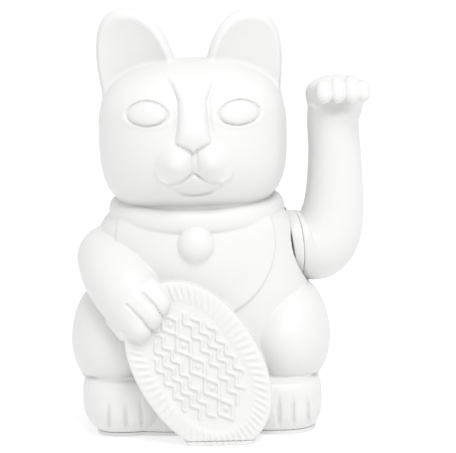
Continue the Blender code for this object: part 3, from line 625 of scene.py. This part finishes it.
def coin_plane(p):
    """Coordinates on the coin: across it, along it and out of its face."""
    x, y, z = shifted(p, COIN_CENTRE)
    out = -y * math.cos(COIN_LEAN) + z * math.sin(COIN_LEAN)
    up = z * math.cos(COIN_LEAN) + y * math.sin(COIN_LEAN)
    across = x * math.cos(COIN_TURN) + up * math.sin(COIN_TURN)
    along = -x * math.sin(COIN_TURN) + up * math.cos(COIN_TURN)
    return across, along, out


def coin_edge(across, along):
    """The distance from the coin's outline, negative inside."""
    g = power(
        power(np.abs(across) / COIN_RADII[0], 2.15) + power(np.abs(along) / COIN_RADII[1], 2.15),
        1 / 2.15,
    )
    return np.hypot(across, along) * (1 - 1 / np.maximum(g, 0.05))


def coin_relief(across, along):
    """A milled border round a field with a chain of lozenges between waves."""
    edge = coin_edge(across, along)
    angle = np.arctan2(along / COIN_RADII[1], across / COIN_RADII[0])
    strokes = 0.5 + 0.5 * np.cos(angle * 62)
    in_border = np.exp(-(((edge + 3.8) / 2.5) ** 4))
    relief = 0.55 * strokes**1.5 * in_border
    field = 0.5 - 0.5 * np.tanh((edge + 7.2) / 0.6)
    relief = relief - 0.35 * field
    for centre in LOZENGES:
        lozenge = np.abs(across) / 2.9 + np.abs(along - centre) / 4.2
        ring = np.abs(lozenge - 1) * 2.4
        dot = np.hypot(across, along - centre)
        shape = np.exp(-((ring / 0.6) ** 4)) + np.exp(-((dot / 0.8) ** 4))
        relief = relief + 0.8 * shape * field
    for offset, length in WAVES:
        for side in (-1, 1):
            wave = across - side * (offset + 0.9 * np.sin(along * 2 * math.pi / 5.6))
            inside = 0.5 - 0.5 * np.tanh((np.abs(along) - length) / 0.6)
            relief = relief + 0.8 * np.exp(-((wave / 0.62) ** 4)) * inside * field
    return relief


def coin(p):
    across, along, out = coin_plane(p)
    edge = coin_edge(across, along)
    slab = meet(edge, np.abs(out + COIN_THICKNESS / 2) - COIN_THICKNESS / 2, 1.0)
    face = np.exp(-((np.maximum(-out - 0.2, 0) / 1.0) ** 2))
    return slab - coin_relief(across, along) * face * (edge < 0)


# The grooves between the toes of the resting paw, in X and Z.
PAW_GROOVES = (
    ((-24.9, 50.2), (-20.2, 45.6), (-15.8, 39.6)),
    ((-19.4, 53.8), (-15.2, 49.6), (-11.6, 43.8)),
)


def resting_arm(p):
    """The arm that lies across the chest, with its paw on the coin."""
    arm = limb(
        p,
        [
            (-31.2, -4.0, 60.8, 12.4),
            (-29.0, -17.0, 57.0, 12.3),
            (-24.8, -27.0, 51.8, 11.9),
            (-21.4, -32.0, 47.8, 11.0),
        ],
    )
    toes = (
        ((-26.2, -34.5, 47.6), (-20.9, -38.8, 42.0), 4.9),
        ((-21.4, -36.4, 51.8), (-16.9, -39.4, 46.2), 4.6),
        ((-17.0, -35.6, 54.6), (-14.0, -38.4, 50.0), 4.1),
    )
    for start, end, radius in toes:
        gap, _ = segment(p, start, end)
        arm = union(arm, gap - radius, 1.6)
    thumb, _ = segment(p, (-30.2, -31.5, 43.2), (-26.4, -36.6, 39.4))
    arm = union(arm, thumb - 2.7, 0.6)
    front = np.clip((-34 - p[1]) / 3, 0, 1)
    for line in PAW_GROOVES:
        arm = arm + groove(line_distance(p[0], p[2], line), 0.6, 0.9) * front
    return arm


def tail(p):
    """The tail, curled round the seat."""
    return limb(
        p,
        [
            (2.0, 38.0, 9.0, 5.2),
            (12.0, 38.2, 9.6, 5.3),
            (21.0, 35.2, 12.0, 5.2),
            (28.0, 29.8, 17.0, 4.9),
            (31.0, 25.0, 24.0, 4.4),
        ],
    )


# The pocket beside the raised arm: a round hole up to a flat wall.
POCKET_RADIUS = 13.9
POCKET_X = 29.4
HUB_RADIUS = 12.3
HUB_FACE = (32.8, 0.0, PIVOT_Z)  # on the hub's face towards the body
HUB_NORMAL = (0.988, 0.0988, 0.1186)
SHOULDER_SEAM = (34.95, 0.0, PIVOT_Z)
SHOULDER_NORMAL = (0.9762, 0.2148, 0.0293)
SEAM_GAP = 0.12


def plane(p, point, normal):
    x, y, z = shifted(p, point)
    return x * normal[0] + y * normal[1] + z * normal[2]


def from_axle(p):
    return np.hypot(p[1], p[2] - PIVOT_Z)


def pocket(p):
    return meet(from_axle(p) - POCKET_RADIUS, POCKET_X - p[0], 0.6)


def block(p, low, high):
    gaps = [np.maximum(a - axis, axis - b) for axis, a, b in zip(p, low, high)]
    return np.maximum(np.maximum(gaps[0], gaps[1]), gaps[2])


def post(p, place, radius, low_z, high_z):
    """An upright cylinder."""
    round_part = np.hypot(p[0] - place[0], p[1] - place[1]) - radius
    return meet(round_part, np.maximum(low_z - p[2], p[2] - high_z))


COIN_BOX = ((-46, -60, -6), (36, -20, 66))
RESTING_ARM_BOX = ((-50, -60, 28), (0, 20, 80))


def leg_box(side):
    return beside(side, 8, 56, (-50, -20), (40, 64))


def crease_box(side):
    return beside(side, 8, 56, (-50, 17), (6, 25))


def rough_body(p):
    """The forms that have a hollow behind them."""
    whole = union(torso(p), head_base(p), 1.5)
    add(whole, p, COIN_BOX, coin, 0.6)
    add(whole, p, RESTING_ARM_BOX, resting_arm, 0.8)
    for side in (-1, 1):
        add(whole, p, leg_box(side), lambda q: thigh(q, side), 0.8)
        add(whole, p, leg_box(side), lambda q: foot(q, side), 0.5)
    return whole


def body(p):
    """The whole outside of the front and rear shells, above and below their bottom edge."""
    whole = torso(p)
    add(whole, p, ((-40, -50, 30), (40, 10, 100)), bib, 0.4)
    for side in (-1, 1):
        add(whole, p, leg_box(side), lambda q: thigh(q, side), 0.3)
        add(whole, p, leg_box(side), lambda q: foot(q, side), 0.3)
        locally(whole, p, crease_box(side), lambda f, q: f + foot_crease(q, side))
    add(whole, p, RESTING_ARM_BOX, resting_arm, 0.4)
    add(whole, p, COIN_BOX, coin, 0.4)
    add(whole, p, ((-50, -50, 74), (50, 50, 160)), head, 0.5)
    add(whole, p, ((-44, -44, 64), (44, 44, 92)), collar, 0.3)
    add(whole, p, ((-12, -44, 56), (12, -18, 82)), bell, 0.3)
    add(whole, p, ((-12, 16, -8), (46, 60, 40)), tail, 1.2)
    return carve(whole, pocket(p), 0.4)


SCREW_PLACES = ((34.0, -12.0), (-34.0, -12.0), (33.5, 10.0), (-33.5, 10.0))  # X and Y
BOSS_BOTTOM = 2.9
BOSS_TOP = 17.0


def screw_boss(p, place):
    """A pillar for a screw, with a web to the side wall."""
    x, y = place
    ends = sorted((x, x + math.copysign(7.5, x)))
    web = block(p, (ends[0], y - 1, BOSS_BOTTOM), (ends[1], y + 1, BOSS_TOP - 1))
    return union(post(p, place, 3.2, BOSS_BOTTOM, BOSS_TOP), web)


def axle_hole(p):
    """The hole in the pocket's wall that the hub's socket turns in."""
    past_wall = (p[0] < 20) | (p[0] > 40)
    return from_axle(p) - 4.5 + 100 * past_wall


def seam_groove(p):
    """The small bevel along the joint between the front and rear halves."""
    return groove(np.abs(p[1]), 0.3, 0.22)


def shell(p):
    """The body as a hollow moulding, open at the bottom, with its four screw bosses."""
    hollow = carve(rough_body(p), pocket(p)) + WALL
    hollow = union(hollow, axle_hole(p))
    for place in SCREW_PLACES:
        hollow = carve(hollow, screw_boss(p, place))
        hollow = union(hollow, post(p, place, 1.2, 0, 13.5))
    outside = body(p) + seam_groove(p)
    return meet(carve(outside, hollow), SHELL_BOTTOM - p[2])


def front_shell(p):
    return meet(shell(p), p[1] + HALF_SEAM)


def rear_shell(p):
    return meet(shell(p), HALF_SEAM - p[1])


# The raised arm

TOE_TIP_Z = 118.1
# The toes of the raised paw: X, the top's Z, and the radius.
PAW_TOES = ((45.8, 123.6, 2.75), (50.6, 124.5, 2.7), (55.5, 125.0, 2.75), (59.6, 123.2, 2.4))
PAW_BOX = ((30, -30, 109), (70, 20, 140))


def with_flat_side(field, q):
    """The paw's field with its inner side planed flat, less so towards the wrist."""
    side = plane(q, (39.6, -4.0, 119.5), (-0.83, -0.53, -0.17))
    return meet(field, side - 6 * np.clip((115 - q[2]) / 5, 0, 1), 1.5)


def raised_arm(p):
    """The shoulder, the upright forearm and the paw that bends forward."""
    arm = limb(
        p,
        [
            (30.0, 0.0, PIVOT_Z, 12.1),
            (37.0, 0.0, PIVOT_Z, 12.3),
            (42.5, 0.0, 63.9, 13.0),
            (46.3, 0.0, 68.2, 12.3),
            (48.4, 0.0, 75.0, 11.1),
            (49.3, 0.0, 84.0, 10.2),
            (49.5, 0.0, 97.0, 9.4),
            (49.1, -0.5, 108.0, 9.2),
            (50.0, -1.5, 113.5, 9.8),
        ],
    )
    palm = ellipsoid(p, (50.4, -4.0, 118.2), (11.2, 10.4, 6.4))
    arm = union(arm, palm, 2.5)
    arm = carve(arm, ellipsoid(p, (47.5, -15.5, 115.0), (11.0, 7.0, 6.2)), 2.5)
    locally(arm, p, PAW_BOX, with_flat_side)
    for x, top, radius in PAW_TOES:
        back = (x, -5.0, top - radius - 0.4)
        knuckle = (x, -11.0, top - radius - 0.3)
        tip = (x, -13.2, TOE_TIP_Z)
        toe = union(segment(p, back, knuckle)[0], segment(p, knuckle, tip)[0])
        arm = union(arm, toe - radius, 0.6)
    return arm


def arm_shell(p):
    arm = raised_arm(p)
    outside = arm + seam_groove(p)
    cut_off = SEAM_GAP - plane(p, SHOULDER_SEAM, SHOULDER_NORMAL)
    return meet(carve(outside, arm + ARM_WALL), cut_off, 0.15)


def arm_front_shell(p):
    return meet(arm_shell(p), p[1] + HALF_SEAM)


def arm_rear_shell(p):
    return meet(arm_shell(p), HALF_SEAM - p[1])


def arm_hub(p):
    """The disc between the arm and the body, with the socket for the axle."""
    round_part = from_axle(p)
    seam_side = plane(p, SHOULDER_SEAM, SHOULDER_NORMAL)
    body_side = -plane(p, HUB_FACE, HUB_NORMAL)
    disc = meet(meet(round_part - HUB_RADIUS, seam_side, 0.15), body_side, 0.3)
    spigot = meet(meet(round_part - 9.8, p[0] - 38.4), body_side)
    socket = meet(meet(round_part - 4.0, p[0] - 40.6), body_side)
    return carve(union(union(disc, spigot), socket), round_part - 1.6)


# The base plate: X and Y of the battery bay, and the posts that hold the movement.
BAY_X = (-28.5, 26.3)
BAY_Y = (10.0, 25.2)
BAY_MIDDLE_Y = 17.6
TRAY_WALL = 1.4
PLUG_TOP = 2.6
PLUG_INSET = WALL + 0.4
FRAME_POSTS = ((14.8, -16.0), (22.2, -16.0))


def battery_tray(p):
    """The walls round the battery bay, higher at its ends."""
    low = (BAY_X[0] - TRAY_WALL, BAY_Y[0] - TRAY_WALL, 2.0)
    high = (BAY_X[1] + TRAY_WALL, BAY_Y[1] + TRAY_WALL, 15.3)
    low_sides = block(p, (BAY_X[0] + 2.6, 0, 11.3), (BAY_X[1] - 2.6, 40, 20))
    return carve(block(p, low, high), low_sides)


def base_plate(p):
    """The flange under the shells, with the plug, the battery tray and the posts on it."""
    x, y, z = p
    low = (x, y, np.full_like(z, SHELL_BOTTOM + 0.1))
    plate = meet(body(low), np.abs(z - FLANGE_TOP / 2) - FLANGE_TOP / 2, 0.3)
    inner = np.maximum(rough_body(low), rough_body(p)) + PLUG_INSET
    inside = meet(np.abs(z - 1.6) - (PLUG_TOP - 1.6), inner)
    inside = union(inside, meet(battery_tray(p), inner))
    for place in FRAME_POSTS:
        inside = union(inside, post(p, place, 2.6, 2.0, 4.7))
    plate = union(plate, inside)
    plate = carve(plate, block(p, (BAY_X[0], BAY_Y[0], -1), (BAY_X[1], BAY_Y[1], 20)))
    pin_gap = np.hypot(x - BAY_X[0] - 1.1, z - 1.3) - 0.7
    plate = carve(plate, meet(pin_gap, np.abs(y - BAY_MIDDLE_Y) - 8.9))
    thumb_notch = ellipsoid(p, (BAY_X[1] + 1, BAY_MIDDLE_Y, -1.0), (4.5, 5.0, 2.6))
    plate = carve(plate, thumb_notch)
    for place in SCREW_PLACES:
        plate = carve(plate, post(p, place, 1.4, -1, 5))
        plate = carve(plate, post(p, place, 2.7, -1, 1.5))
    for place in FRAME_POSTS:
        plate = carve(plate, post(p, place, 1.2, 1.2, 9))
    return plate


# Materials


def colour(hexcode):
    """A linear colour from an sRGB hex code."""
    parts = [int(hexcode[i:i + 2], 16) / 255 for i in (0, 2, 4)]
    linear = [c / 12.92 if c <= 0.04045 else ((c + 0.055) / 1.055) ** 2.4 for c in parts]
    return (*linear, 1)


class Finish:
    """A node material with object coordinates at hand."""

    def __init__(self, name):
        self.material = bpy.data.materials.new(name)
        self.material.use_nodes = True
        self.nodes = self.material.node_tree.nodes
        self.links = self.material.node_tree.links
        self.shader = self.nodes["Principled BSDF"]
        self.place = self.nodes.new("ShaderNodeTexCoord").outputs["Object"]

    def add(self, kind, **settings):
        """A new node. Each setting is one of its sockets, with _ for a space."""
        node = self.nodes.new("ShaderNode" + kind)
        for socket, value in settings.items():
            node.inputs[socket.replace("_", " ")].default_value = value
        return node

    def stretched(self, scale):
        """The object coordinates scaled by a factor for each axis."""
        mapping = self.add("Mapping", Scale=scale)
        self.links.new(self.place, mapping.inputs["Vector"])
        return mapping.outputs["Vector"]

    def noise(self, scale, detail, vector=None):
        node = self.add("TexNoise", Scale=scale, Detail=detail)
        self.links.new(vector or self.place, node.inputs["Vector"])
        return node.outputs["Fac"]

    def roughness(self, source, low, high):
        spread = self.add("MapRange", To_Min=low, To_Max=high)
        self.links.new(source, spread.inputs["Value"])
        self.links.new(spread.outputs["Result"], self.shader.inputs["Roughness"])

    def tint(self, source, stops, mode="LINEAR"):
        """The base colour from a ramp of (place, colour) stops."""
        node = self.add("ValToRGB")
        ramp = node.color_ramp
        ramp.interpolation = mode
        for element, (where, shade) in zip(ramp.elements, (stops[0], stops[-1])):
            element.position, element.color = where, shade
        for where, shade in stops[1:-1]:
            ramp.elements.new(where).color = shade
        self.links.new(source, node.inputs["Fac"])
        self.links.new(node.outputs["Color"], self.shader.inputs["Base Color"])

    def bump(self, source, distance, strength):
        node = self.add("Bump", Strength=strength, Distance=distance)
        self.links.new(source, node.inputs["Height"])
        self.links.new(node.outputs["Normal"], self.shader.inputs["Normal"])


def plastic(name, base, roughness, strength=0.12):
    """Satin moulded plastic: a fine orange-peel bump and slightly uneven gloss."""
    made = Finish(name)
    made.shader.inputs["Base Color"].default_value = base
    made.bump(made.noise(1400, 3), 0.00006, strength)
    made.roughness(made.noise(60, 4), roughness - 0.05, roughness + 0.06)
    return made.material


def metal(name, base, roughness, grain):
    """Metal with fine lines. Each factor of grain is small along the lines and large across."""
    made = Finish(name)
    made.shader.inputs["Base Color"].default_value = base
    made.shader.inputs["Metallic"].default_value = 1.0
    lines = made.noise(400, 5, made.stretched(grain))
    made.bump(lines, 0.00002, 0.35)
    made.roughness(lines, roughness - 0.1, roughness + 0.12)
    return made.material


def enamelled_wire(name):
    """Turns of fine copper wire, stacked up the coil, with painted shade darkening the grooves
    between the turns.
    """
    made = Finish(name)
    made.shader.inputs["Metallic"].default_value = 1.0
    turns = made.add("TexWave", Scale=1250.0, Distortion=0.6, Detail=1.0)
    turns.bands_direction = "Z"
    made.links.new(made.place, turns.inputs["Vector"])
    # Painted shade: the copper colour darkens into the groove between each pair of turns, following
    # the same waves as the bump.
    made.tint(turns.outputs["Fac"], ((0.0, colour("6a2d14")), (0.6, colour("b05a2c"))))
    made.bump(turns.outputs["Fac"], 0.00005, 0.9)
    made.roughness(made.noise(300, 2), 0.28, 0.42)
    return made.material


def circuit_mask(name):
    """Green solder mask over copper tracks."""
    made = Finish(name)
    tracks = made.add("TexBrick", Scale=260.0, Mortar_Size=0.03)
    swap = made.add("Mapping", Rotation=(0.0, math.radians(90), 0.0))
    made.links.new(made.place, swap.inputs["Vector"])
    made.links.new(swap.outputs["Vector"], tracks.inputs["Vector"])
    made.tint(tracks.outputs["Fac"], ((0.0, colour("14542b")), (1.0, colour("2c7a41"))))
    made.bump(tracks.outputs["Fac"], 0.00003, 0.6)
    made.roughness(made.noise(500, 3), 0.32, 0.48)
    return made.material


def cell_sleeve(name):
    """A printed sleeve with a plain band, and bare metal at both ends of the cell."""
    made = Finish(name)
    along = made.add("SeparateXYZ")
    made.links.new(made.place, along.inputs["Vector"])
    share = made.add("MapRange", From_Min=-0.0252, From_Max=0.0252)
    made.links.new(along.outputs["X"], share.inputs["Value"])
    bare, dark, band = colour("b9babd"), colour("1d2430"), colour("b98a3a")
    stops = ((0.0, bare), (0.015, dark), (0.74, band), (0.965, bare))
    made.tint(share.outputs["Result"], stops, "CONSTANT")
    made.bump(made.noise(900, 2), 0.00002, 0.3)
    made.roughness(made.noise(80, 3), 0.22, 0.36)
    return made.material


WHITE = plastic("satin_white", colour("dededd"), 0.42)
IVORY = plastic("ivory_plastic", colour("cfcbbb"), 0.5, 0.2)
BLACK = plastic("black_plastic", colour("161616"), 0.48, 0.2)
PLATED = metal("zinc_plate", colour("b4b7bb"), 0.32, (1.0, 1.0, 0.05))
TURNED = metal("turned_steel", colour("a9abae"), 0.28, (1.0, 0.06, 0.06))
NICKEL = metal("nickel_plate", colour("c4c3bf"), 0.2, (0.1, 0.1, 1.0))
BRASS = metal("turned_brass", colour("c49a4a"), 0.3, (1.0, 0.06, 0.06))

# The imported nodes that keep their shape, with the finish of each.
KEPT = {
    "battery_door": WHITE,
    "movement_frame": IVORY,
    "pendulum_lever": IVORY,
    "coil_bobbin": BLACK,
    "drive_chip": plastic("potting", colour("0d0d0e"), 0.3, 0.35),
    "capacitor": plastic("capacitor_sleeve", colour("1b2238"), 0.34),
    "transistor": plastic("transistor_case", colour("1a1a1a"), 0.55, 0.4),
    "coil_winding": enamelled_wire("enamelled_wire"),
    "circuit_board": circuit_mask("circuit_board"),
    "aa_cell": cell_sleeve("cell_sleeve"),
    "red_lead": plastic("red_insulation", colour("9e1b16"), 0.36, 0.2),
    "black_lead": plastic("black_insulation", colour("141414"), 0.36, 0.2),
    "inner_axle_bush": BRASS,
    "outer_axle_bush": BRASS,
    "arm_axle": TURNED,
    "axle_clip": PLATED,
    "counterweight": TURNED,
    "pendulum_magnet": NICKEL,
    "spring_contact": NICKEL,
    "plate_contact": NICKEL,
    "base_screw_1": PLATED,
    "base_screw_2": PLATED,
    "base_screw_3": PLATED,
    "base_screw_4": PLATED,
    "frame_screw_1": PLATED,
    "frame_screw_2": PLATED,
}

for name, material in KEPT.items():
    for place in frame["nodes"][name].material_slots:
        place.material = material

# The sculpted pieces, each named for the node it replaces: shape, box, pitch and body.
PIECES = (
    ("front_shell", front_shell, (-48, -46, 0), (48, 1, 152), FINE_PITCH, "cat_body"),
    ("rear_shell", rear_shell, (-48, -1, 0), (48, 46, 152), PLAIN_PITCH, "cat_body"),
    ("arm_front_shell", arm_front_shell, (30, -20, 48), (66, 1, 128), ARM_PITCH, "waving_arm"),
    ("arm_rear_shell", arm_rear_shell, (30, -1, 48), (66, 16, 128), PLAIN_PITCH, "waving_arm"),
    ("arm_hub", arm_hub, (30, -14, 49), (42, 14, 78), ARM_PITCH, "waving_arm"),
    ("base_plate", base_plate, (-48, -46, -1), (48, 46, 17), BASE_PITCH, "cat_body"),
)

SHARP_EDGED = ("base_plate", "arm_hub")

for name, shape, low, high, pitch, rider in PIECES:
    piece = sculpted(name + "_skin", shape, low, high, pitch)
    piece.data.materials.append(WHITE)
    if name in SHARP_EDGED:
        piece.data.set_sharp_from_angle(angle=math.radians(35))
    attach(piece, rider)
    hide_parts(name)


# The stage


def key_light():
    """A soft round lamp above the front of the cat."""
    data = bpy.data.lights.new("key", "AREA")
    data.shape = "DISK"
    data.size = 0.6
    data.energy = 6.6
    made = bpy.data.objects.new("key", data)
    bpy.context.scene.collection.objects.link(made)
    made.location = (0.2, -0.68, 1.05)
    aim = Vector((0, 0, 0.07)) - made.location
    made.rotation_euler = aim.to_track_quat("-Z", "Y").to_euler()


def stage():
    """A pale floor that glows a little, just below the base plate."""
    bpy.ops.mesh.primitive_plane_add(size=6, location=(0, 0, -0.0002))
    floor = bpy.context.active_object
    floor.name = "floor"
    paper = bpy.data.materials.new("paper")
    paper.use_nodes = True
    shader = paper.node_tree.nodes["Principled BSDF"]
    shader.inputs["Base Color"].default_value = (0.5, 0.5, 0.5, 1)
    shader.inputs["Roughness"].default_value = 0.9
    shader.inputs["Specular IOR Level"].default_value = 0.0
    shader.inputs["Emission Color"].default_value = (1, 1, 1, 1)
    shader.inputs["Emission Strength"].default_value = 0.56
    floor.data.materials.append(paper)


def world():
    """Even white light from all round."""
    made = bpy.data.worlds.new("studio")
    made.use_nodes = True
    made.node_tree.nodes["Background"].inputs["Color"].default_value = (1, 1, 1, 1)
    made.node_tree.nodes["Background"].inputs["Strength"].default_value = 0.9
    bpy.context.scene.world = made
    bpy.context.scene.view_settings.view_transform = "Standard"


# The camera: a metre away, a little above the cat, and rolled slightly.
TARGET = Vector((0.0107, 0.0, 0.0706))
DISTANCE = 1.0
ELEVATION = math.radians(8.5)
ROLL = math.radians(1.5)
VIEW_WIDTH = 456 * 0.3595e-3  # at the target


def camera():
    data = bpy.data.cameras.new("camera")
    data.sensor_width = 36
    data.lens = 36 * DISTANCE / VIEW_WIDTH
    made = bpy.data.objects.new("camera", data)
    bpy.context.scene.collection.objects.link(made)
    back = Vector((0, -math.cos(ELEVATION), math.sin(ELEVATION)))
    made.location = TARGET + back * DISTANCE
    turn = (-back).to_track_quat("-Z", "Y").to_matrix().to_4x4()
    made.rotation_euler = (turn @ Matrix.Rotation(-ROLL, 4, "Z")).to_euler()
    bpy.context.scene.camera = made


stage()
world()
camera()
key_light()
